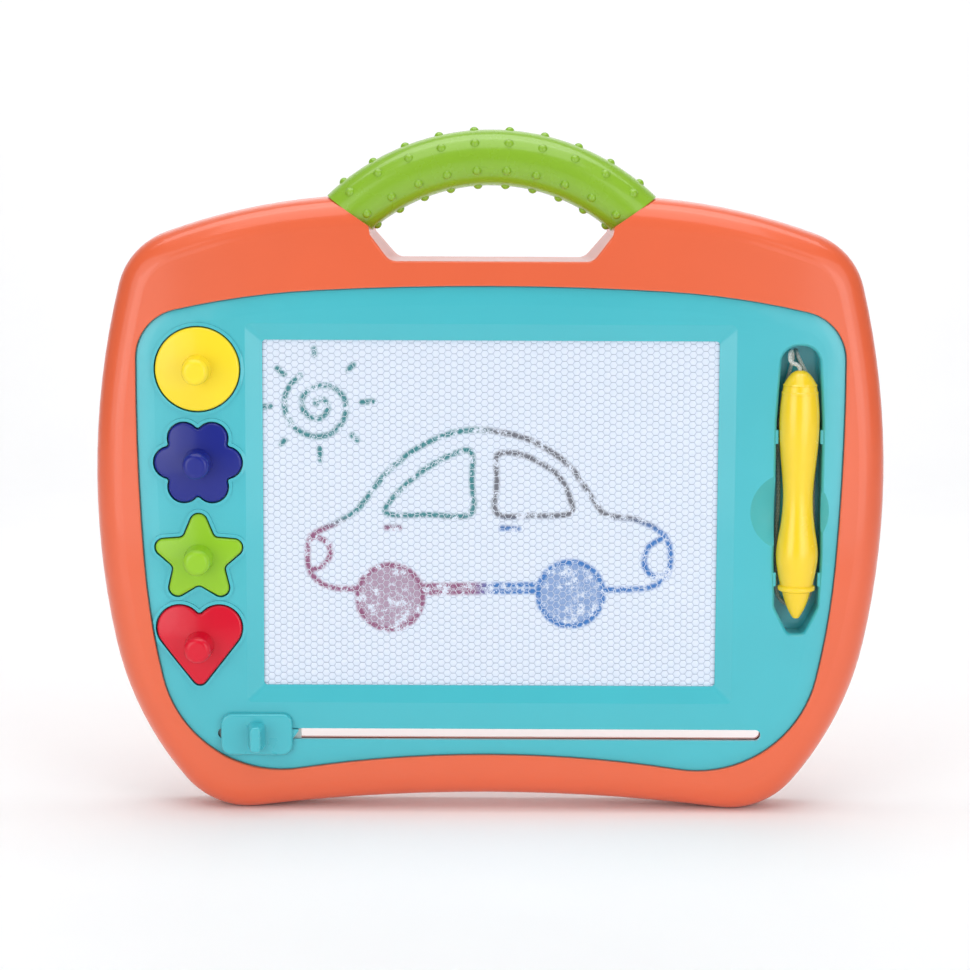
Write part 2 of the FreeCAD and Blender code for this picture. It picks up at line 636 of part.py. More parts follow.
def clamp_screws():
    """Screws of both clamps."""
    return Part.makeCompound([screw(x, z, CLAMP_BACK, PANEL_BACK, SMALL_SCREW_R - PILOT_CUT, 0.9 * SMALL_HEAD_R)
                              for x, z in clamp_screw_places()])


# ---- the slider and the eraser

def neck_outline():
    """Section of the knob's neck, with ends that lean to the right."""
    middle = SLIDER_X + NECK_SHIFT
    half, lean, tall = 0.5 * NECK_WIDTH, 0.5 * NECK_SLANT, 0.5 * NECK_HEIGHT
    corners = [(middle - half - lean, SLOT_Z - tall), (middle + half - lean, SLOT_Z - tall),
               (middle + half + lean, SLOT_Z + tall), (middle - half + lean, SLOT_Z + tall)]
    return rounded_polygon(corners, [0.5] * 4)


def slider_knob():
    """Plate in front of the slot, the rib that fingers push, and the neck that goes through the slot."""
    front = PANEL_Y - 0.2
    plate = rounded_prism(rectangle(SLIDER_X, SLOT_Z, PLATE_SIZE[0], PLATE_SIZE[1], PLATE_CORNER),
                          front - PLATE_THICK, front, front - PLATE_THICK, 1.2)
    rib_front = front - PLATE_THICK - RIB_PROUD
    sections = []
    for y, size, corner in ((front - 1.0, RIB_BASE, 2.6), (rib_front, RIB_TIP, 1.8)):
        section = rectangle(SLIDER_X, SLOT_Z - RIB_DROP, size[0], size[1], corner)
        section.translate(Vector(0, y, 0))
        sections.append(section)
    rib = Part.makeLoft(sections, True, True)
    rib = rib.makeFillet(1.2, edges_at(rib, rib_front))
    knob = fuse([plate, rib, prism(neck_outline(), front - 1.0, CARRIAGE_FRONT)])
    for side in (-1.0, 1.0):
        knob = knob.cut(rod(SLIDER_X + side * KNOB_SCREW_OFFSET, SLOT_Z, SMALL_SCREW_R - PILOT_CUT,
                            front - 1.6, CARRIAGE_FRONT + 1.0))
    return knob


def slider_carriage():
    """Plate that slides behind the panel, with the block that carries the eraser bar."""
    plate = prism(rectangle(SLIDER_X, SLOT_Z, CARRIAGE_SIZE[0], CARRIAGE_SIZE[1], CARRIAGE_CORNER),
                  CARRIAGE_FRONT, CARRIAGE_BACK)
    block = prism(rectangle(SLIDER_X, SLOT_Z, CARRIAGE_BLOCK, CARRIAGE_SIZE[1], 1.5),
                  CARRIAGE_BACK - JOIN, BAR_FRONT)
    carriage = fuse([plate, block])
    for side in (-1.0, 1.0):
        carriage = carriage.cut(rod(SLIDER_X + side * KNOB_SCREW_OFFSET, SLOT_Z, SMALL_SCREW_R + HOLE_CLEARANCE,
                                    CARRIAGE_FRONT - 1.0, CARRIAGE_BACK + 1.0))
        carriage = carriage.cut(rod(SLIDER_X, SLOT_Z + side * BAR_SCREW_OFFSET, SMALL_SCREW_R - PILOT_CUT,
                                    BAR_FRONT - 4.0, BAR_FRONT + 1.0))
    return carriage


def magnet_outline():
    """Edge of the magnet strip and of the rib that it sits on."""
    middle = 0.5 * (MAGNET_LOW + MAGNET_HIGH)
    return rectangle(SLIDER_X, middle, MAGNET_WIDTH, MAGNET_HIGH - MAGNET_LOW, 0.8)


def eraser_bar():
    """Upright bar behind the screen, with a rib for the magnet and a shoe that runs in the cover's guide."""
    bottom = SLOT_Z - 0.5 * CARRIAGE_SIZE[1]
    middle = 0.5 * (bottom + BAR_TOP)
    bar = prism(rectangle(SLIDER_X, middle, BAR_WIDTH, BAR_TOP - bottom, 2.0), BAR_FRONT, BAR_BACK)
    rib = prism(magnet_outline(), MAGNET_BACK, BAR_FRONT + JOIN)
    shoe = prism(rectangle(SLIDER_X, BAR_TOP - 0.5 * SHOE_SIZE[1], SHOE_SIZE[0], SHOE_SIZE[1], 1.5),
                 BAR_BACK - JOIN, SHOE_BACK)
    bar = fuse([bar, rib, shoe])
    for side in (-1.0, 1.0):
        bar = bar.cut(rod(SLIDER_X, SLOT_Z + side * BAR_SCREW_OFFSET, SMALL_SCREW_R + HOLE_CLEARANCE,
                          BAR_FRONT - 1.0, BAR_BACK + 1.0))
    return bar


def eraser_magnet():
    """Magnet strip that wipes the back of the screen."""
    return prism(magnet_outline(), MAGNET_FRONT, MAGNET_BACK)


def eraser_screws():
    """Two screws from the carriage into the knob and two from the bar into the carriage."""
    screws = []
    for side in (-1.0, 1.0):
        screws.append(screw(SLIDER_X + side * KNOB_SCREW_OFFSET, SLOT_Z, CARRIAGE_BACK, CARRIAGE_BACK - 6.0,
                            SMALL_SCREW_R - PILOT_CUT, SMALL_HEAD_R))
        screws.append(screw(SLIDER_X, SLOT_Z + side * BAR_SCREW_OFFSET, BAR_BACK, BAR_BACK - 6.0,
                            SMALL_SCREW_R - PILOT_CUT, SMALL_HEAD_R))
    return Part.makeCompound(screws)


# ---- the stamps

def flower_outline():
    """Round petals joined by small fillets."""
    half_step = math.pi / PETALS
    notch = (PETAL_REACH * math.cos(half_step)
             + math.sqrt((PETAL_R + PETAL_FILLET) ** 2 - (PETAL_REACH * math.sin(half_step)) ** 2))
    edges = []
    for k in range(PETALS):
        middle = 2.0 * math.pi * k / PETALS
        petal = Vector(PETAL_REACH * math.cos(middle), 0, PETAL_REACH * math.sin(middle))
        before, after = [Vector(notch * math.cos(middle + side * half_step), 0,
                                notch * math.sin(middle + side * half_step)) for side in (-1, 1)]
        start = petal + (before - petal).normalize() * PETAL_R
        end = petal + (after - petal).normalize() * PETAL_R
        tip = petal * ((PETAL_REACH + PETAL_R) / PETAL_REACH)
        edges.append(Part.Arc(start, tip, end).toShape())
        next_petal_start = FreeCAD.Rotation(Vector(0, -1, 0), math.degrees(2.0 * half_step)).multVec(start)
        edges.append(Part.Arc(end, after * ((notch - PETAL_FILLET) / notch), next_petal_start).toShape())
    return Part.Wire(edges)


def star_outline():
    """Five-pointed star with rounded tips and notches."""
    points = []
    for k in range(10):
        angle = math.radians(90.0 + 36.0 * k)
        reach = STAR_NOTCH if k % 2 else STAR_TIP
        points.append((reach * math.cos(angle), reach * math.sin(angle)))
    return rounded_polygon(points, [STAR_TIP_ROUND, STAR_NOTCH_ROUND] * 5)


def heart_outline():
    """Two round lobes with a filleted notch, and straight sides down to a rounded tip."""
    notch_z = HEART_LOBE_Z + math.sqrt((HEART_LOBE_R + HEART_NOTCH_ROUND) ** 2 - HEART_LOBE_X ** 2)
    tip_z = HEART_LOBE_Z - HEART_TIP
    reach = math.hypot(HEART_LOBE_X, HEART_TIP)
    lean = math.atan2(HEART_LOBE_X, HEART_TIP) + math.asin(HEART_LOBE_R / reach)
    run = math.sqrt(reach ** 2 - HEART_LOBE_R ** 2)
    touch = Vector(run * math.sin(lean), 0, tip_z + run * math.cos(lean))
    cut = HEART_TIP_ROUND / math.tan(lean)
    tip_side = Vector(cut * math.sin(lean), 0, tip_z + cut * math.cos(lean))
    tip_low = Vector(0, 0, tip_z + HEART_TIP_ROUND / math.sin(lean) - HEART_TIP_ROUND)
    lobe = Vector(HEART_LOBE_X, 0, HEART_LOBE_Z)
    top = lobe + Vector(0, 0, HEART_LOBE_R)
    meet = lobe + (Vector(0, 0, notch_z) - lobe).normalize() * HEART_LOBE_R
    notch_low = Vector(0, 0, notch_z - HEART_NOTCH_ROUND)

    def mirrored(point):
        return Vector(-point.x, 0, point.z)

    edges = [Part.Arc(mirrored(tip_side), tip_low, tip_side), Part.LineSegment(tip_side, touch),
             Part.Arc(touch, top, meet), Part.Arc(meet, notch_low, mirrored(meet)),
             Part.Arc(mirrored(meet), mirrored(top), mirrored(touch)),
             Part.LineSegment(mirrored(touch), mirrored(tip_side))]
    return Part.Wire([edge.toShape() for edge in edges])


def stamp_outline(name):
    """Outline of one stamp where it sits in the panel."""
    if name == "circle":
        outline = Part.Wire(Part.makeCircle(CIRCLE_R, Vector(0, 0, 0), Vector(0, 1, 0)))
    elif name == "flower":
        outline = flower_outline()
    elif name == "star":
        outline = star_outline()
    else:
        outline = heart_outline()
    outline.translate(Vector(STAMP_X, 0, STAMP_Z[name]))
    return outline


def stamp(name):
    """Stamp with a domed top, a knob and a hollow under it for its magnet."""
    z = STAMP_Z[name]
    dome = Part.makeSphere(STAMP_DOME_R, Vector(STAMP_X, STAMP_APEX + STAMP_DOME_R, z))
    body = prism(stamp_outline(name), STAMP_APEX - 3.0, STAMP_BASE).common(dome)
    top_edges = [edge for edge in body.Edges if edge.BoundBox.YMax < STAMP_APEX + 3.0
                 and edge.BoundBox.YMin > STAMP_APEX + 0.3]
    body = body.makeFillet(STAMP_EDGE_ROUND, top_edges)
    hollow = prism(grown(stamp_outline(name), -STAMP_MAGNET_INSET), STAMP_BASE - STAMP_MAGNET_THICK, STAMP_BASE)
    return body.cut(hollow).fuse(stamp_knob(z)).removeSplitter()


def stamp_knob(z):
    """Slightly tapered knob with a rounded end."""
    start = STAMP_APEX + 0.6
    knob = Part.makeCone(KNOB_BASE_R, KNOB_TIP_R, KNOB_HEIGHT + 0.6, Vector(STAMP_X, start, z), Vector(0, -1, 0))
    return knob.makeFillet(2.4, edges_at(knob, STAMP_APEX - KNOB_HEIGHT))


def stamp_magnet(name):
    """Magnet sheet in the stamp's underside; its outline is what the stamp draws."""
    return prism(grown(stamp_outline(name), -STAMP_MAGNET_INSET), STAMP_BASE - STAMP_MAGNET_THICK, STAMP_BASE)


# ---- the pen

def lathe(stretches):
    """Solid turned about the pen's axis; a stretch of three or more (radius, height) points is a curve."""
    edges = []
    joined = [stretches[0][0]]
    for stretch in stretches:
        points = [Vector(radius, 0, z) for radius, z in stretch]
        if (points[0] - Vector(joined[-1][0], 0, joined[-1][1])).Length > 1e-6:
            edges.append(Part.LineSegment(Vector(joined[-1][0], 0, joined[-1][1]), points[0]).toShape())
        if len(points) > 2:
            curve = Part.BSplineCurve()
            curve.interpolate(points)
            edges.append(curve.toShape())
        elif len(points) == 2:
            edges.append(Part.LineSegment(points[0], points[1]).toShape())
        joined.append(stretch[-1])
    first, last = stretches[0][0], stretches[-1][-1]
    edges.append(Part.LineSegment(Vector(last[0], 0, last[1]), Vector(first[0], 0, first[1])).toShape())
    solid = Part.Face(Part.Wire(edges)).revolve(Vector(0, 0, 0), Vector(0, 0, 1), 360)
    solid.translate(Vector(PEN_X, PEN_Y, 0))
    return solid


def upright(radius, z0, z1):
    """Round bar along the pen's axis."""
    return Part.makeCylinder(radius, z1 - z0, Vector(PEN_X, PEN_Y, z0), Vector(0, 0, 1))


def pen_barrel():
    """Waisted barrel, bored through for the two end pieces."""
    barrel = lathe([[(0.0, CAP_SEAM)], BARREL_CURVE, [(0.0, BARREL_CURVE[-1][1])]])
    return barrel.cut(upright(BARREL_BORE, PEN_TIP, PEN_TOP))


def pen_tail_cap():
    """Domed cap with two raised rings, a plug, and an eye for the cord."""
    seam_r = BARREL_CURVE[0][0]
    dome = lathe([[(0.0, CAP_SEAM)], [(seam_r + 0.15, CAP_SEAM)], [(seam_r + 0.15, CAP_SEAM + 0.9)],
                  [(seam_r - 0.2, CAP_SEAM + 1.2)], [(seam_r - 0.6, CAP_SEAM + 3.6)],
                  [(seam_r - 0.35, CAP_SEAM + 3.9)],
                  [(seam_r - 0.9, CAP_SEAM + 4.5), (5.6, 190.6), (3.3, 193.2), (0.0, PEN_TOP)]])
    plug = upright(BARREL_BORE - 0.05, CAP_SEAM - CAP_PLUG, CAP_SEAM)
    eye = upright(0.5 * CORD_D + 0.2, CAP_SEAM + 2.0, PEN_TOP + 1.0)
    return dome.fuse(plug).removeSplitter().cut(eye)


def pen_nose():
    """Collar ring and tapered nose, with a spigot and a pocket for the magnet."""
    top = BARREL_CURVE[-1][1]
    collar = lathe([[(0.0, top)], [(COLLAR_END_R[0], top)], COLLAR_CURVE, [(COLLAR_END_R[1], NECK_Z - 1.6)],
                    NOSE_CURVE, [(1.2, PEN_TIP)], [(0.0, PEN_TIP)]])
    spigot = upright(BARREL_BORE - 0.05, top, top + CAP_PLUG)
    pocket = upright(PEN_MAGNET_SIZE[0] + 0.05, PEN_TIP + 1.0, PEN_TIP + 1.0 + PEN_MAGNET_SIZE[1])
    return collar.fuse(spigot).removeSplitter().cut(pocket)


def pen_magnet():
    """Small bar magnet behind the pen's tip."""
    return upright(PEN_MAGNET_SIZE[0], PEN_TIP + 1.0, PEN_TIP + 1.0 + PEN_MAGNET_SIZE[1])


# ---- the cord

def rounded_path(route):
    """Straight runs through the route joined by tangent arcs as large as the runs allow; also the radii."""
    points = [Vector(*point) for point in route]
    edges, radii = [], []
    here = points[0]
    for before, corner, after in zip(points, points[1:], points[2:]):
        arriving, leaving = corner - before, after - corner
        half_turn = 0.5 * arriving.getAngle(leaving)
        cut = 0.45 * min(arriving.Length, leaving.Length)
        radius = cut / math.tan(half_turn)
        start = corner - arriving.normalize() * cut
        end = corner + leaving.normalize() * cut
        inward = (start + end) * 0.5 - corner
        middle = corner + inward.normalize() * (radius / math.cos(half_turn) - radius)
        edges.append(Part.LineSegment(here, start).toShape())
        edges.append(Part.Arc(start, middle, end).toShape())
        radii.append(radius)
        here = end
    edges.append(Part.LineSegment(here, points[-1]).toShape())
    return Part.Wire(edges), radii


def tether_cord():
    """The cord as a plain tube, all the way from its knot to just short of the pen's tail."""
    path, radii = rounded_path(CORD_ROUTE)
    first = (Vector(*CORD_ROUTE[1]) - Vector(*CORD_ROUTE[0])).normalize()
    section = Part.Wire(Part.makeCircle(0.5 * CORD_D, Vector(*CORD_ROUTE[0]), first))
    tube = path.makePipeShell([section], True, False)
    ideal = math.pi * 0.25 * CORD_D ** 2 * path.Length
    print("cord length %.1f  volume %.2f of %.2f" % (path.Length, tube.Volume, ideal))
    print("cord radii " + " ".join("%.1f" % radius for radius in radii))
    return tube


def tether_knot():
    """Knot that keeps the cord from pulling out of the recess's floor."""
    x, z = CORD_HOLE
    ball = Part.makeSphere(KNOT_R, Vector(x, KNOT_FACE + 0.7 * KNOT_R, z))
    return ball.common(Part.makeBox(8.0, 8.0, 8.0, Vector(x - 4.0, KNOT_FACE, z - 4.0)))


save("front_frame", front_frame())
save("rear_cover", rear_cover())
save("case_screws", case_screws())
save("handle_grip", handle_grip())
save("front_panel", front_panel())
save("panel_screws", panel_screws())
save("screen_front_film", screen_layer(SCREEN_Y, SCREEN_Y + FILM_THICK))
save("screen_core", screen_layer(SCREEN_Y + FILM_THICK, SCREEN_BACK - FILM_THICK))
save("screen_back_film", screen_layer(SCREEN_BACK - FILM_THICK, SCREEN_BACK))
save("screen_clamp_top", screen_clamp(True))
save("screen_clamp_bottom", screen_clamp(False))
save("clamp_screws", clamp_screws())
save("slider_knob", slider_knob())
save("slider_carriage", slider_carriage())
save("eraser_bar", eraser_bar())
save("eraser_magnet", eraser_magnet())
save("eraser_screws", eraser_screws())
for stamp_name in STAMP_Z:
    save("stamp_" + stamp_name, stamp(stamp_name))
    save("stamp_" + stamp_name + "_magnet", stamp_magnet(stamp_name))
save("pen_barrel", pen_barrel())
save("pen_tail_cap", pen_tail_cap())
save("pen_nose", pen_nose())
save("pen_magnet", pen_magnet())
save("tether_cord", tether_cord())
save("tether_knot", tether_knot())
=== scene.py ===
"""Looks of a child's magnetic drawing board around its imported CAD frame.

Metres, +Z up, and the board's front looks along -Y.
"""
import json
import math

import bmesh
import bpy
import numpy as np
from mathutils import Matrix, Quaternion, Vector


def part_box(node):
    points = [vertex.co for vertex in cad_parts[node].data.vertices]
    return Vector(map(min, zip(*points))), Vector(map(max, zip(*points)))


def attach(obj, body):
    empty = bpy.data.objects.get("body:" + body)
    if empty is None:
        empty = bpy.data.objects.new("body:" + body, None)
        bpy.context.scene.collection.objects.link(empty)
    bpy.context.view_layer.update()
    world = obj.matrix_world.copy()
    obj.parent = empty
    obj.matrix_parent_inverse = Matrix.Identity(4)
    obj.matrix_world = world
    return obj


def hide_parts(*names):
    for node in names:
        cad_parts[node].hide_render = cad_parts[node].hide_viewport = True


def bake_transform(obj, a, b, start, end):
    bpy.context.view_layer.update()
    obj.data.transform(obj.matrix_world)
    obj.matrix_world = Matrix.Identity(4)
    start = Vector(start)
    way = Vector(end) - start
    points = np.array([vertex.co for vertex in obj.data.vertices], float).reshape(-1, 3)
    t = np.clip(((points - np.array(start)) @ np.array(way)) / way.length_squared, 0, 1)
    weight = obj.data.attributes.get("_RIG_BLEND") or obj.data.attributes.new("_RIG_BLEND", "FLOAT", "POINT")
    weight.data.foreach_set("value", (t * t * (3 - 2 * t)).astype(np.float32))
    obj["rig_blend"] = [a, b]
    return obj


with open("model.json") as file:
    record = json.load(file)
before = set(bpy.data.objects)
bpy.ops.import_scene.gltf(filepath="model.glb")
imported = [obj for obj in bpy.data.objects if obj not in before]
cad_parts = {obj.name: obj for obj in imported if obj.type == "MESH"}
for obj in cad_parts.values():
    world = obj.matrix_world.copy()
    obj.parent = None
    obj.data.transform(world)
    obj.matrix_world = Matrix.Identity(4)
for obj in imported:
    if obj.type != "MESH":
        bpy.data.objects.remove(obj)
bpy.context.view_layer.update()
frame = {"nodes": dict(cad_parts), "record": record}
SCENE = bpy.context.scene
MM = 0.001


# ---- camera

AIM = Vector((-0.0023, 0.0, 0.1421))
DISTANCE = 1.314
ELEVATION = math.radians(8.6)
ROLL = math.radians(0.25)
SENSOR_MM = 36.0
LENS_MM = 112.45
CLIP_START = 0.02


def make_camera():
    """Camera a little above the board, square to it, at a long lens."""
    data = bpy.data.cameras.new("camera")
    data.sensor_width = SENSOR_MM
    data.lens = LENS_MM
    data.clip_start = CLIP_START
    camera = bpy.data.objects.new("camera", data)
    back = Vector((0.0, -math.cos(ELEVATION), math.sin(ELEVATION)))
    camera.location = AIM + back * DISTANCE
    turn = back.to_track_quat("Z", "Y") @ Quaternion((0.0, 0.0, 1.0), ROLL)
    camera.rotation_euler = turn.to_euler()
    SCENE.collection.objects.link(camera)
    SCENE.camera = camera


# ---- small helpers

def linear(red, green, blue):
    """Linear colour from sRGB numbers out of 255."""
    channels = []
    for value in (red, green, blue):
        value /= 255.0
        channels.append(value / 12.92 if value <= 0.04045 else ((value + 0.055) / 1.055) ** 2.4)
    return (*channels, 1.0)


class Shader:
    """A material's node tree, with short calls for the nodes that the materials share."""

    def __init__(self, name):
        self.material = bpy.data.materials.new(name)
        self.material.use_nodes = True
        self.tree = self.material.node_tree
        self.surface = self.tree.nodes["Principled BSDF"]
        self.place = self.add("ShaderNodeTexCoord").outputs["Object"]

    def add(self, kind, **settings):
        node = self.tree.nodes.new(kind)
        for name, value in settings.items():
            setattr(node, name, value)
        return node

    def link(self, output, target):
        self.tree.links.new(output, target)

    def noise(self, scale, detail=2.0, roughness=0.5):
        node = self.add("ShaderNodeTexNoise")
        node.inputs["Scale"].default_value = scale
        node.inputs["Detail"].default_value = detail
        node.inputs["Roughness"].default_value = roughness
        self.link(self.place, node.inputs["Vector"])
        return node.outputs["Fac"]

    def remap(self, value, low, high, to_low, to_high):
        node = self.add("ShaderNodeMapRange")
        ends = {"From Min": low, "From Max": high, "To Min": to_low, "To Max": to_high}
        for name, number in ends.items():
            node.inputs[name].default_value = number
        self.link(value, node.inputs["Value"])
        return node.outputs["Result"]

    def mix(self, factor, first, second):
        node = self.add("ShaderNodeMix", data_type="RGBA")
        sockets = [node.inputs[i] for i in (0, 6, 7)]
        for socket, value in zip(sockets, (factor, first, second)):
            if isinstance(value, bpy.types.NodeSocket):
                self.link(value, socket)
            else:
                socket.default_value = value
        return node.outputs[2]

    def maths(self, operation, first, second):
        node = self.add("ShaderNodeMath", operation=operation)
        for socket, value in zip(node.inputs, (first, second)):
            if isinstance(value, bpy.types.NodeSocket):
                self.link(value, socket)
            else:
                socket.default_value = value
        return node.outputs[0]

    def bump(self, height, distance, strength=1.0):
        node = self.add("ShaderNodeBump")
        node.inputs["Distance"].default_value = distance
        node.inputs["Strength"].default_value = strength
        self.link(height, node.inputs["Height"])
        self.link(node.outputs["Normal"], self.surface.inputs["Normal"])

    def attribute(self, name):
        return self.add("ShaderNodeAttribute", attribute_name=name)

    def set(self, **values):
        for name, value in values.items():
            self.surface.inputs[name.replace("_", " ")].default_value = value


def shade(color, amount):
    """The colour made lighter (above 1) or darker."""
    return (*[min(1.0, channel * amount) for channel in color[:3]], 1.0)


# ---- materials

FLOW_SCALE = 9.0
SMEAR_SCALE = 55.0
MOULD_GRAIN_SCALE = 1900.0
MOULD_GRAIN_HEIGHT = 0.02 * MM
PLASTIC_IOR = 1.5
COAT_ROUGHNESS = 0.09
HIDDEN_ROUGHNESS = 0.42
STAMP_GLOSS = {"roughness": 0.24, "coat": 0.2, "specular": 0.3}


def moulded_plastic(name, color, roughness, coat=0.0, specular=0.5):
    """Injection-moulded plastic: faint flow marks, uneven gloss, and a fine grain from the mould."""
    shader = Shader(name)
    flow = shader.remap(shader.noise(FLOW_SCALE, 3.0, 0.6), 0.35, 0.65, 0.0, 1.0)
    tone = shader.mix(flow, shade(color, 0.97), shade(color, 1.025))
    shader.link(tone, shader.surface.inputs["Base Color"])
    smear = shader.noise(SMEAR_SCALE, 4.0, 0.65)
    gloss = shader.remap(smear, 0.3, 0.7, roughness - 0.02, roughness + 0.03)
    shader.link(gloss, shader.surface.inputs["Roughness"])
    shader.bump(shader.noise(MOULD_GRAIN_SCALE, 2.0, 0.5), MOULD_GRAIN_HEIGHT, 0.35)
    shader.set(Coat_Weight=coat, Coat_Roughness=COAT_ROUGHNESS, IOR=PLASTIC_IOR)
    shader.set(Specular_IOR_Level=specular)
    return shader.material


def brushed_steel(name):
    """Zinc-plated steel with turning marks."""
    shader = Shader(name)
    marks = shader.noise(2600.0, 3.0, 0.7)
    tone = shader.mix(marks, linear(150, 150, 156), linear(206, 206, 210))
    shader.link(tone, shader.surface.inputs["Base Color"])
    shader.link(shader.remap(marks, 0.3, 0.7, 0.24, 0.42), shader.surface.inputs["Roughness"])
    shader.bump(marks, 0.02 * MM, 0.4)
    shader.set(Metallic=1.0)
    return shader.material


def ferrite(name):
    """Flexible magnet sheet: nearly black, with a fine speckle."""
    shader = Shader(name)
    speckle = shader.noise(3200.0, 2.0, 0.6)
    tone = shader.mix(speckle, linear(28, 27, 27), linear(62, 58, 56))
    shader.link(tone, shader.surface.inputs["Base Color"])
    shader.bump(speckle, 0.03 * MM, 0.5)
    shader.set(Roughness=0.62)
    return shader.material


def braided_cord(name):
    """White polyester braid with painted shade: the valleys between yarns are painted grey as shade, and the
    yarns' crowns stay white.
    """
    shader = Shader(name)
    crown = shader.attribute("crown").outputs["Fac"]
    fibre = shader.noise(5200.0, 3.0, 0.7)
    yarn = shader.mix(fibre, linear(214, 216, 210), linear(246, 246, 242))
    # painted shade: where the crown attribute is low, the white yarn is mixed towards a shaded grey
    shader.link(shader.mix(crown, linear(150, 158, 152), yarn), shader.surface.inputs["Base Color"])
    shader.bump(fibre, 0.04 * MM, 0.6)
    shader.set(Roughness=0.8, Sheen_Weight=0.4, Sheen_Roughness=0.5)
    return shader.material


def screen_cells_material(name):
    """Pale liquid in honeycomb cells, with iron powder where a line is drawn, and painted shade along the
    cell walls that is darkest on the level walls.
    """
    shader = Shader(name)
    wall = shader.attribute("wall").outputs["Fac"]
    ink = shader.attribute("ink").outputs["Fac"]
    powder = shader.attribute("powder").outputs["Color"]
    cloud = shader.noise(420.0, 2.0, 0.5)
    liquid = shader.mix(cloud, linear(214, 226, 242), linear(224, 231, 246))
    grain = shader.noise(1500.0, 3.0, 0.7)
    patches = shader.noise(330.0, 1.0, 0.5)
    clumps = shader.remap(shader.maths("ADD", grain, patches), 0.77, 0.98, 0.0, 1.0)
    filled = shader.maths("MULTIPLY", ink, clumps)
    filled = shader.maths("MULTIPLY", filled, shader.remap(wall, 0.45, 0.95, 1.0, 0.0))
    level = shader.attribute("level").outputs["Fac"]
    # painted shade on the cell walls: grey on the slanted walls, darker grey on the level walls at each
    # cell's top and bottom; in inked cells the walls are left pale
    shaded_wall = shader.mix(level, linear(168, 182, 204), linear(118, 134, 158))
    edge = shader.mix(ink, shaded_wall, linear(228, 234, 246))
    body = shader.mix(shader.remap(wall, 0.45, 1.0, 0.0, 1.0), liquid, edge)
    shader.link(shader.mix(filled, body, powder), shader.surface.inputs["Base Color"])
    shader.bump(grain, 0.02 * MM, 0.25)
    shader.set(Roughness=0.34, Coat_Weight=0.25, Coat_Roughness=0.15)
    return shader.material


PLASTICS = {
    "case_orange": (linear(229, 97, 54), {"roughness": 0.34, "coat": 0.5}),
    "grip_lime": (linear(134, 180, 36), {"roughness": 0.26, "coat": 0.4}),
    "panel_teal": (linear(66, 184, 196), {"roughness": 0.30, "coat": 0.4}),
    "slider_teal": (linear(66, 184, 196), {"roughness": 0.28, "coat": 0.4}),
    "clamp_white": (linear(222, 222, 218), {"roughness": HIDDEN_ROUGHNESS}),
    "mechanism_white": (linear(226, 226, 222), {"roughness": HIDDEN_ROUGHNESS}),
    "stamp_yellow": (linear(248, 220, 44), STAMP_GLOSS),
    "stamp_navy": (linear(27, 38, 134), STAMP_GLOSS),
    "stamp_lime": (linear(146, 198, 38), STAMP_GLOSS),
    "stamp_red": (linear(216, 14, 44), STAMP_GLOSS),
    "pen_yellow": (linear(246, 210, 30), {"roughness": 0.25, "coat": 0.4}),
    "screen_film": (linear(226, 232, 246), {"roughness": 0.2}),
}
SPECIALS = {
    "screen_core": screen_cells_material,
    "magnet_dark": ferrite,
    "steel_screw": brushed_steel,
    "cord_white": braided_cord,
}


def make_materials():
    """Every material, by the record's slot name."""
    materials = {name: moulded_plastic(name, color, **finish) for name, (color, finish) in PLASTICS.items()}
    for name, make in SPECIALS.items():
        materials[name] = make(name)
    return materials


def dress_nodes(materials):
    """Give each CAD node the material of its slot in the record."""
    for row in frame["record"]["subparts"]:
        node = frame["nodes"][row["node"]]
        node.data.materials.clear()
        node.data.materials.append(materials[row["material_slot"]])


# ---- the pen's cord

CORD_DIAMETER = 1.8 * MM
CORD_ROUTE = [
    (0.1311, -0.0002, 0.2013), (0.1311, -0.0042, 0.2013), (0.1326, -0.0048, 0.1976),
    (0.1366, -0.0036, 0.1905), (0.1398, -0.0029, 0.1785), (0.1404, -0.0028, 0.1580),
    (0.1394, -0.0028, 0.1380), (0.1404, -0.0028, 0.1190), (0.1398, -0.0028, 0.1055),
    (0.1399, -0.0028, 0.0952), (0.1356, -0.0028, 0.0902), (0.1290, -0.0028, 0.0901),
    (0.1244, -0.0028, 0.0949), (0.1243, -0.0028, 0.1050), (0.1238, -0.0028, 0.1200),
    (0.1250, -0.0028, 0.1390), (0.1239, -0.0028, 0.1590), (0.1249, -0.0029, 0.1780),
    (0.1279, -0.0036, 0.1906), (0.1296, -0.0058, 0.1984), (0.1288, -0.0084, 0.2022),
    (0.1276, -0.0120, 0.2014), (0.1276, -0.0136, 0.1976), (0.1310, -0.0132, 0.1966),
    (0.1322, -0.0126, 0.1946), (0.1322, -0.0126, 0.1915),
]
ROUTE_STEPS = 24
CORD_SIDES = 18
CORD_RING_STEP = 0.28 * MM
YARNS = 3
YARN_TWIST = 2.0 * math.pi / (5.5 * MM)
YARN_HEIGHT = 0.12 * MM
CORD_BLEND_START = (0.130, -0.0052, 0.200)
CORD_BLEND_END = (0.130, -0.0120, 0.200)


def route_line(route):
    """Points down a smooth spline that has the route as its control points."""
    curve = bpy.data.curves.new("route", "CURVE")
    curve.dimensions = "3D"
    curve.resolution_u = ROUTE_STEPS
    spline = curve.splines.new("NURBS")
    spline.points.add(len(route) - 1)
    for point, place in zip(spline.points, route):
        point.co = (*place, 1.0)
    spline.order_u = 3
    spline.use_endpoint_u = True
    bare = bpy.data.objects.new("route", curve)
    mesh = bpy.data.meshes.new_from_object(bare)
    line = np.array([vertex.co for vertex in mesh.vertices])
    bpy.data.objects.remove(bare)
    bpy.data.meshes.remove(mesh)
    return line


def evenly(line, step):
    """The same line with its points a step apart, and how far along it each one is."""
    along = np.concatenate([[0.0], np.cumsum(np.linalg.norm(np.diff(line, axis=0), axis=1))])
    at = np.linspace(0.0, along[-1], int(along[-1] / step) + 1)
    return np.stack([np.interp(at, along, line[:, axis]) for axis in range(3)], axis=1), at


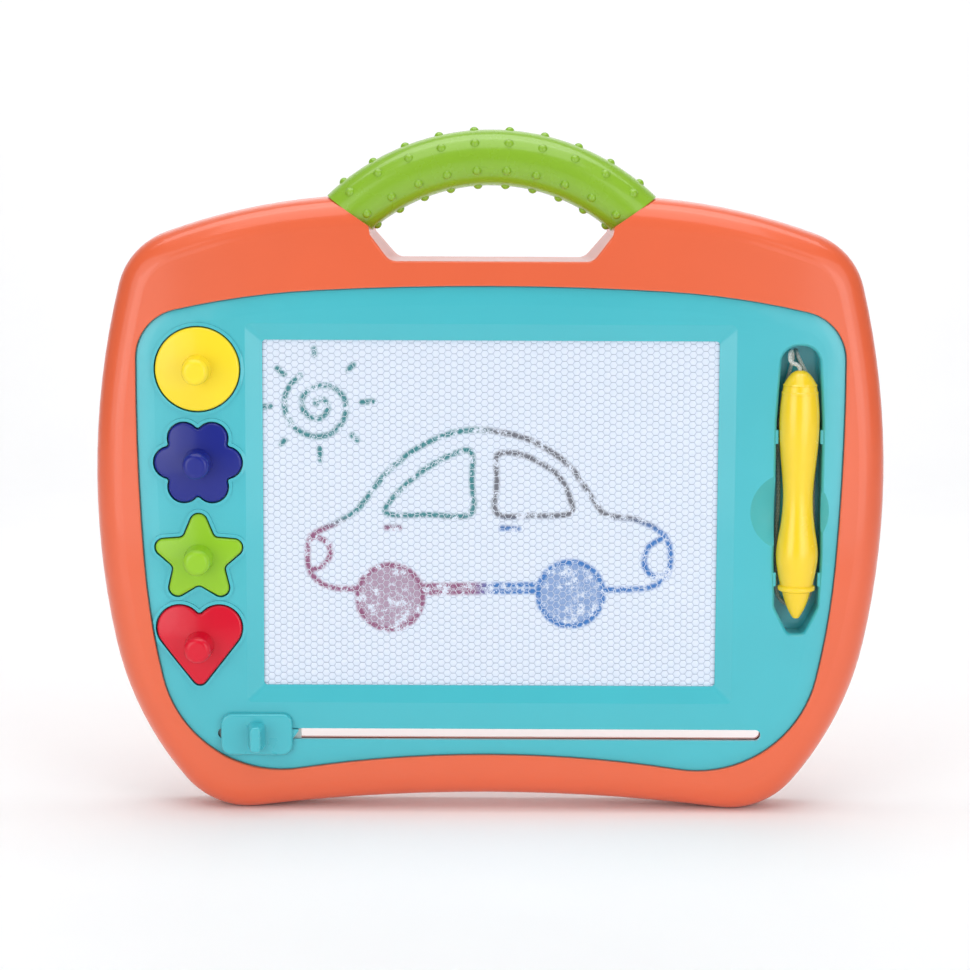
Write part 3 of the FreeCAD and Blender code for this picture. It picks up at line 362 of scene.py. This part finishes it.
def braided_tube(name, line, along):
    """Tube round the line whose skin rises and falls with crossing yarns."""
    work = bmesh.new()
    crown_layer = work.verts.layers.float.new("crown")
    tangents = np.gradient(line, axis=0)
    side = Vector(tangents[0]).orthogonal().normalized()
    rings = []
    for place, tangent, distance in zip(line, tangents, along):
        forward = Vector(tangent).normalized()
        side = (side - forward * side.dot(forward)).normalized()
        other = forward.cross(side)
        ring = []
        for k in range(CORD_SIDES):
            angle = 2.0 * math.pi * k / CORD_SIDES
            left = math.sin(YARNS * (angle + YARN_TWIST * distance / YARNS))
            right = math.sin(YARNS * (angle - YARN_TWIST * distance / YARNS))
            crown = abs(left * right)
            radius = 0.5 * CORD_DIAMETER - YARN_HEIGHT * (1.0 - crown)
            outward = side * math.cos(angle) + other * math.sin(angle)
            vertex = work.verts.new(Vector(place) + outward * radius)
            vertex[crown_layer] = crown
            ring.append(vertex)
        rings.append(ring)
    for before, after in zip(rings, rings[1:]):
        for k in range(CORD_SIDES):
            following = (k + 1) % CORD_SIDES
            work.faces.new((before[k], before[following], after[following], after[k]))
    work.faces.new(reversed(rings[0]))
    work.faces.new(rings[-1])
    return finished(name, work)


def finished(name, work):
    """Object from a bmesh, shaded smooth."""
    for face in work.faces:
        face.smooth = True
    mesh = bpy.data.meshes.new(name)
    work.to_mesh(mesh)
    work.free()
    piece = bpy.data.objects.new(name, mesh)
    SCENE.collection.objects.link(piece)
    return piece


def make_cord(materials):
    """The tether, from the hole in the recess to the eye in the pen's tail."""
    line, along = evenly(route_line(CORD_ROUTE), CORD_RING_STEP)
    cord = braided_tube("pen_tether", line, along)
    cord.data.materials.append(materials["cord_white"])
    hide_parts("tether_cord")
    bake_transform(cord, "board", "pen", start=CORD_BLEND_START, end=CORD_BLEND_END)


# ---- the honeycomb screen and what is drawn on it

CELL_SIDES = 6
CELL_SIDE = 1.749 * MM
CORNER_GRID = 0.05 * MM
FILM_SKIN = 0.02 * MM
CELL_RISE = 0.34 * MM
WINDOW_X = 97.7 * MM
WINDOW_Z = (55.8 * MM, 206.2 * MM)
CELL_MARGIN = 2.4 * MM
# each ring's size, how far it rises to the crown, and how much of it is wall
RINGS = ((1.0, 0.0, 1.0), (0.86, 0.72, 0.30), (0.52, 0.94, 0.0))
STROKE_HALF = 0.8 * MM
STROKE_SOFT = 0.8 * MM
# the top and bottom edges of each cell, whose walls are painted with the darker shade
LEVEL_EDGES = (1, 4)
WHEEL_RADIUS = 14.1
WHEEL_PLACES = [(-43.1, 94.5), (34.9, 96.2)]
WHEEL_INK = 0.72
POWDER_TINTS = ((48, 126, 132), (102, 104, 114), (140, 78, 116), (44, 112, 184))
TINT_MIDDLE = (-3.0, 127.0)
TINT_BLEND = (10.0, 6.0)
SUN_PLACE = (-74.3, 178.4)
# the spiral's radius after each turn: degrees and millimetres
SUN_TURN = (0.0, 170.0, 250.0, 330.0, 420.0, 520.0, 600.0, 760.0)
SUN_REACH = (14.2, 14.0, 12.0, 7.6, 6.6, 6.2, 4.2, 0.4)
SUN_START = 120.0
SUN_POINTS = 90
RAYS = 8
FIRST_RAY = 3.0
RAY_INNER = 19.0
RAY_OUTER = 24.0


def smooth_line(points, closed=False, steps=10):
    """Catmull-Rom line through points."""
    ends = points if closed else [points[0], *points, points[-1]]
    count = len(points) if closed else len(points) - 1
    line = []
    for i in range(count):
        a, b, c, d = [np.array(ends[(i + k - (1 if closed else 0)) % len(ends)]) for k in range(4)]
        for t in np.linspace(0.0, 1.0, steps, endpoint=False):
            line.append(0.5 * (2 * b + (c - a) * t + (2 * a - 5 * b + 4 * c - d) * t ** 2
                               + (3 * b - a - 3 * c + d) * t ** 3))
    line.append(np.array(points[0] if closed else points[-1]))
    return np.array(line)


def circle_line(x, z, radius, count=40):
    """Closed circle as a line."""
    angles = np.linspace(0.0, 2.0 * math.pi, count)
    return np.stack([x + radius * np.cos(angles), z + radius * np.sin(angles)], axis=1)


def sun_lines():
    """A spiral with short rays round it."""
    turn = np.linspace(SUN_TURN[0], SUN_TURN[-1], SUN_POINTS)
    angles = np.radians(SUN_START + turn)
    reach = np.interp(turn, SUN_TURN, SUN_REACH)
    spiral = [SUN_PLACE[0] + reach * np.cos(angles), SUN_PLACE[1] + reach * np.sin(angles)]
    lines = [np.stack(spiral, axis=1)]
    for k in range(RAYS):
        angle = math.radians(FIRST_RAY + 360.0 / RAYS * k)
        ends = (RAY_INNER + (k % 3), RAY_OUTER - (k % 2))
        lines.append(np.array([[SUN_PLACE[0] + r * math.cos(angle), SUN_PLACE[1] + r * math.sin(angle)]
                               for r in ends]))
    return lines


def car_lines():
    """A child's car: body, windows, lamps, door marks and wheels."""
    body = [(-57.0, 98.0), (-70.0, 99.0), (-77.0, 104.5), (-78.8, 113.0), (-76.5, 121.5),
            (-66.0, 127.0), (-57.0, 133.0), (-44.0, 149.5), (-28.0, 161.5), (-8.6, 167.5),
            (15.0, 164.0), (33.0, 153.0), (44.0, 138.0), (50.0, 131.0), (64.0, 128.5),
            (75.0, 122.0), (78.0, 112.0), (75.5, 103.5), (68.0, 99.0), (49.0, 98.0)]
    rear_window = [(-45.0, 131.5), (-37.0, 143.0), (-24.0, 153.0), (-9.0, 158.5), (-8.0, 145.0),
                   (-8.6, 131.0), (-26.0, 130.6)]
    front_window = [(3.0, 131.2), (2.8, 145.0), (3.4, 157.0), (16.0, 156.0), (28.5, 148.5),
                    (34.0, 139.0), (34.0, 131.4), (18.0, 130.4)]
    rear_lamp = [(-77.0, 121.5), (-70.5, 118.5), (-69.0, 113.0), (-72.5, 108.0), (-78.0, 106.5)]
    front_lamp = [(75.5, 121.5), (68.5, 117.0), (66.5, 110.0), (70.0, 104.5), (76.5, 104.0)]
    marks = [[(-45.0, 125.0), (-39.0, 125.0)], [(5.0, 125.0), (12.0, 124.6)],
             [(-29.0, 96.6), (21.0, 97.4)], [(-29.0, 99.4), (21.0, 100.2)]]
    lines = [smooth_line(body), smooth_line(rear_window, True), smooth_line(front_window, True)]
    lines += [smooth_line(rear_lamp), smooth_line(front_lamp)]
    lines += [np.array(mark) for mark in marks]
    lines += [circle_line(x, z, WHEEL_RADIUS) for x, z in WHEEL_PLACES]
    return lines


def distance_to_line(places, line):
    """Distance from each place to the nearest stretch of a line."""
    best = np.full(len(places), np.inf)
    for start, end in zip(line, line[1:]):
        run = end - start
        share = np.clip((places - start) @ run / max(run @ run, 1e-9), 0.0, 1.0)
        best = np.minimum(best, np.linalg.norm(places - start - share[:, None] * run, axis=1))
    return best


def ink_at(places):
    """How much powder is pulled to the front at each place, from 0 to 1. Places are in metres."""
    places = places / MM
    nearest = np.full(len(places), np.inf)
    for line in sun_lines() + car_lines():
        nearest = np.minimum(nearest, distance_to_line(places, line))
    ink = np.clip(1.0 - (nearest - STROKE_HALF / MM) / (STROKE_SOFT / MM), 0.0, 1.0)
    for x, z in WHEEL_PLACES:
        inside = np.hypot(places[:, 0] - x, places[:, 1] - z) < WHEEL_RADIUS
        ink = np.where(inside, np.maximum(ink, WHEEL_INK), ink)
    return ink


def powder_at(places):
    """Colour of the powder: four tints, one for each quarter of the screen."""
    places = places / MM
    right = np.clip((places[:, 0] - TINT_MIDDLE[0]) / TINT_BLEND[0] + 0.5, 0.0, 1.0)[:, None]
    lower = np.clip((TINT_MIDDLE[1] - places[:, 1]) / TINT_BLEND[1] + 0.5, 0.0, 1.0)[:, None]
    upper_left, upper_right, lower_left, lower_right = [np.array(linear(*tint)) for tint in POWDER_TINTS]
    upper_tint = (1.0 - right) * upper_left + right * upper_right
    lower_tint = (1.0 - right) * lower_left + right * lower_right
    return (1.0 - lower) * upper_tint + lower * lower_tint


def cell_centres():
    """Centres of the flat-topped cells that fill the window."""
    column_pitch, row_pitch = 1.5 * CELL_SIDE, math.sqrt(3.0) * CELL_SIDE
    low, high = WINDOW_Z[0] - CELL_MARGIN, WINDOW_Z[1] + CELL_MARGIN
    columns = int((WINDOW_X + CELL_MARGIN) / column_pitch)
    centres = []
    for column in range(-columns, columns + 1):
        start = low + (0.5 * row_pitch if column % 2 else 0.0)
        rows = int((high - start) / row_pitch) + 1
        centres += [(column * column_pitch, start + row * row_pitch) for row in range(rows)]
    return centres


def pillow_ring(work, centre, crown_y, ring, corners):
    """One six-sided ring of a cell's pillow. The outermost shares its corners with the cells around."""
    scale, rise, wall = ring
    wall_layer = work.verts.layers.float["wall"]
    vertices = []
    for k in range(CELL_SIDES):
        place = (centre[0] + scale * CELL_SIDE * math.cos(k * math.pi / 3),
                 centre[1] + scale * CELL_SIDE * math.sin(k * math.pi / 3))
        key = (round(place[0] / CORNER_GRID), round(place[1] / CORNER_GRID))
        vertex = corners.get(key) if scale == 1.0 else None
        if vertex is None:
            vertex = work.verts.new((place[0], crown_y + CELL_RISE * (1.0 - rise), place[1]))
            vertex[wall_layer] = wall
        if scale == 1.0:
            corners[key] = vertex
        vertices.append(vertex)
    return vertices


def add_cell(work, centre, crown_y, corners):
    """One pillow: rings from the wall inwards, and a point in the middle."""
    level_layer = work.faces.layers.float["level"]
    rings = [pillow_ring(work, centre, crown_y, ring, corners) for ring in RINGS]
    middle = work.verts.new((centre[0], crown_y, centre[1]))
    for outer, inner in zip(rings, rings[1:]):
        for k in range(CELL_SIDES):
            following = (k + 1) % CELL_SIDES
            face = work.faces.new((outer[k], outer[following], inner[following], inner[k]))
            face[level_layer] = 1.0 if k in LEVEL_EDGES else 0.0
    for k in range(CELL_SIDES):
        work.faces.new((rings[-1][k], rings[-1][(k + 1) % CELL_SIDES], middle))


def close_back(work, back_y):
    """Drop the sheet's open edge to the back and close it there."""
    rim = [edge for edge in work.edges if edge.is_boundary]
    skirt = bmesh.ops.extrude_edge_only(work, edges=rim)["geom"]
    wall_layer = work.verts.layers.float["wall"]
    for vertex in skirt:
        if isinstance(vertex, bmesh.types.BMVert):
            vertex.co.y = back_y
            vertex[wall_layer] = 1.0
    rim = [edge for edge in work.edges if edge.is_boundary]
    bmesh.ops.contextual_create(work, geom=rim)
    bmesh.ops.recalc_face_normals(work, faces=work.faces)


def make_screen(materials):
    """A pillow for each cell between the film's front and the core's back, with the drawing on them."""
    crown_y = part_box("screen_front_film")[0].y + FILM_SKIN
    work = bmesh.new()
    work.verts.layers.float.new("wall")
    work.faces.layers.float.new("level")
    corners = {}
    for centre in cell_centres():
        add_cell(work, centre, crown_y, corners)
    close_back(work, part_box("screen_core")[1].y)
    screen = finished("screen_cells", work)
    add_drawing(screen.data)
    screen.data.materials.append(materials["screen_core"])
    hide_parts("screen_core", "screen_front_film")
    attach(screen, "board")


def add_drawing(mesh):
    """Store the powder's amount and colour at each point of the screen."""
    places = np.array([(vertex.co.x, vertex.co.z) for vertex in mesh.vertices])
    ink = mesh.attributes.new("ink", "FLOAT", "POINT")
    ink.data.foreach_set("value", ink_at(places).astype(np.float32))
    powder = mesh.attributes.new("powder", "FLOAT_COLOR", "POINT")
    powder.data.foreach_set("color", powder_at(places).astype(np.float32).ravel())


# ---- floor and light

FLOOR_HALF = 2.5
FLOOR_BACK = 0.9
SWEEP_RADIUS = 0.6
SWEEP_STEPS = 12
WALL_TOP = 2.6
FLOOR_TONES = ((0.93, 0.93, 0.94, 1.0), (0.96, 0.96, 0.96, 1.0))
FILL_COLOR = (0.96, 0.98, 1.0, 1.0)
FILL_STRENGTH = 0.24
BOARD_MIDDLE = (0.0, 0.0, 0.14)
# name, place, what it faces, size, watts
LIGHTS = [
    ("left_box", (-1.15, -1.27, 0.5), BOARD_MIDDLE, 1.4, 7.8),
    ("right_box", (1.15, -1.27, 0.5), BOARD_MIDDLE, 1.4, 7.8),
    ("top_box", (0.0, -0.55, 1.5), BOARD_MIDDLE, 1.2, 8.2),
    ("backdrop_box", (0.0, 0.35, 1.5), (0.0, 1.5, 0.6), 1.4, 15.5),
    ("left_card", (-0.35, -0.5, 0.19), (-0.15, 0.0, 0.15), 0.34, 0.46),
    ("right_card", (0.35, -0.5, 0.19), (0.15, 0.0, 0.15), 0.34, 0.48),
]


def make_floor():
    """Pale floor that sweeps up behind the board."""
    profile = [(-FLOOR_HALF, 0.0), (FLOOR_BACK, 0.0)]
    for k in range(1, SWEEP_STEPS + 1):
        angle = 0.5 * math.pi * k / SWEEP_STEPS
        rise = SWEEP_RADIUS * (1.0 - math.cos(angle))
        profile.append((FLOOR_BACK + SWEEP_RADIUS * math.sin(angle), rise))
    profile.append((FLOOR_BACK + SWEEP_RADIUS, WALL_TOP))
    work = bmesh.new()
    edges = [[work.verts.new((side * FLOOR_HALF, y, z)) for side in (-1.0, 1.0)] for y, z in profile]
    for before, after in zip(edges, edges[1:]):
        work.faces.new((before[0], before[1], after[1], after[0]))
    floor = finished("floor", work)
    shader = Shader("floor")
    mottle = shader.noise(14.0, 4.0, 0.6)
    shader.link(shader.mix(mottle, *FLOOR_TONES), shader.surface.inputs["Base Color"])
    shader.set(Roughness=0.75)
    floor.data.materials.append(shader.material)


def area_light(name, place, target, size, power):
    """Square soft light that faces a place."""
    data = bpy.data.lights.new(name, "AREA")
    data.size = size
    data.energy = power
    light = bpy.data.objects.new(name, data)
    light.location = place
    light.rotation_euler = (Vector(place) - Vector(target)).to_track_quat("Z", "Y").to_euler()
    SCENE.collection.objects.link(light)


def make_light():
    """Soft boxes at the sides, overhead and for the backdrop, a lit card by each end, and a dim fill."""
    world = bpy.data.worlds.new("studio")
    world.use_nodes = True
    background = world.node_tree.nodes["Background"]
    background.inputs["Color"].default_value = FILL_COLOR
    background.inputs["Strength"].default_value = FILL_STRENGTH
    SCENE.world = world
    for light in LIGHTS:
        area_light(*light)
    SCENE.view_settings.view_transform = "Standard"


make_camera()
MATERIALS = make_materials()
dress_nodes(MATERIALS)
make_cord(MATERIALS)
make_screen(MATERIALS)
make_floor()
make_light()
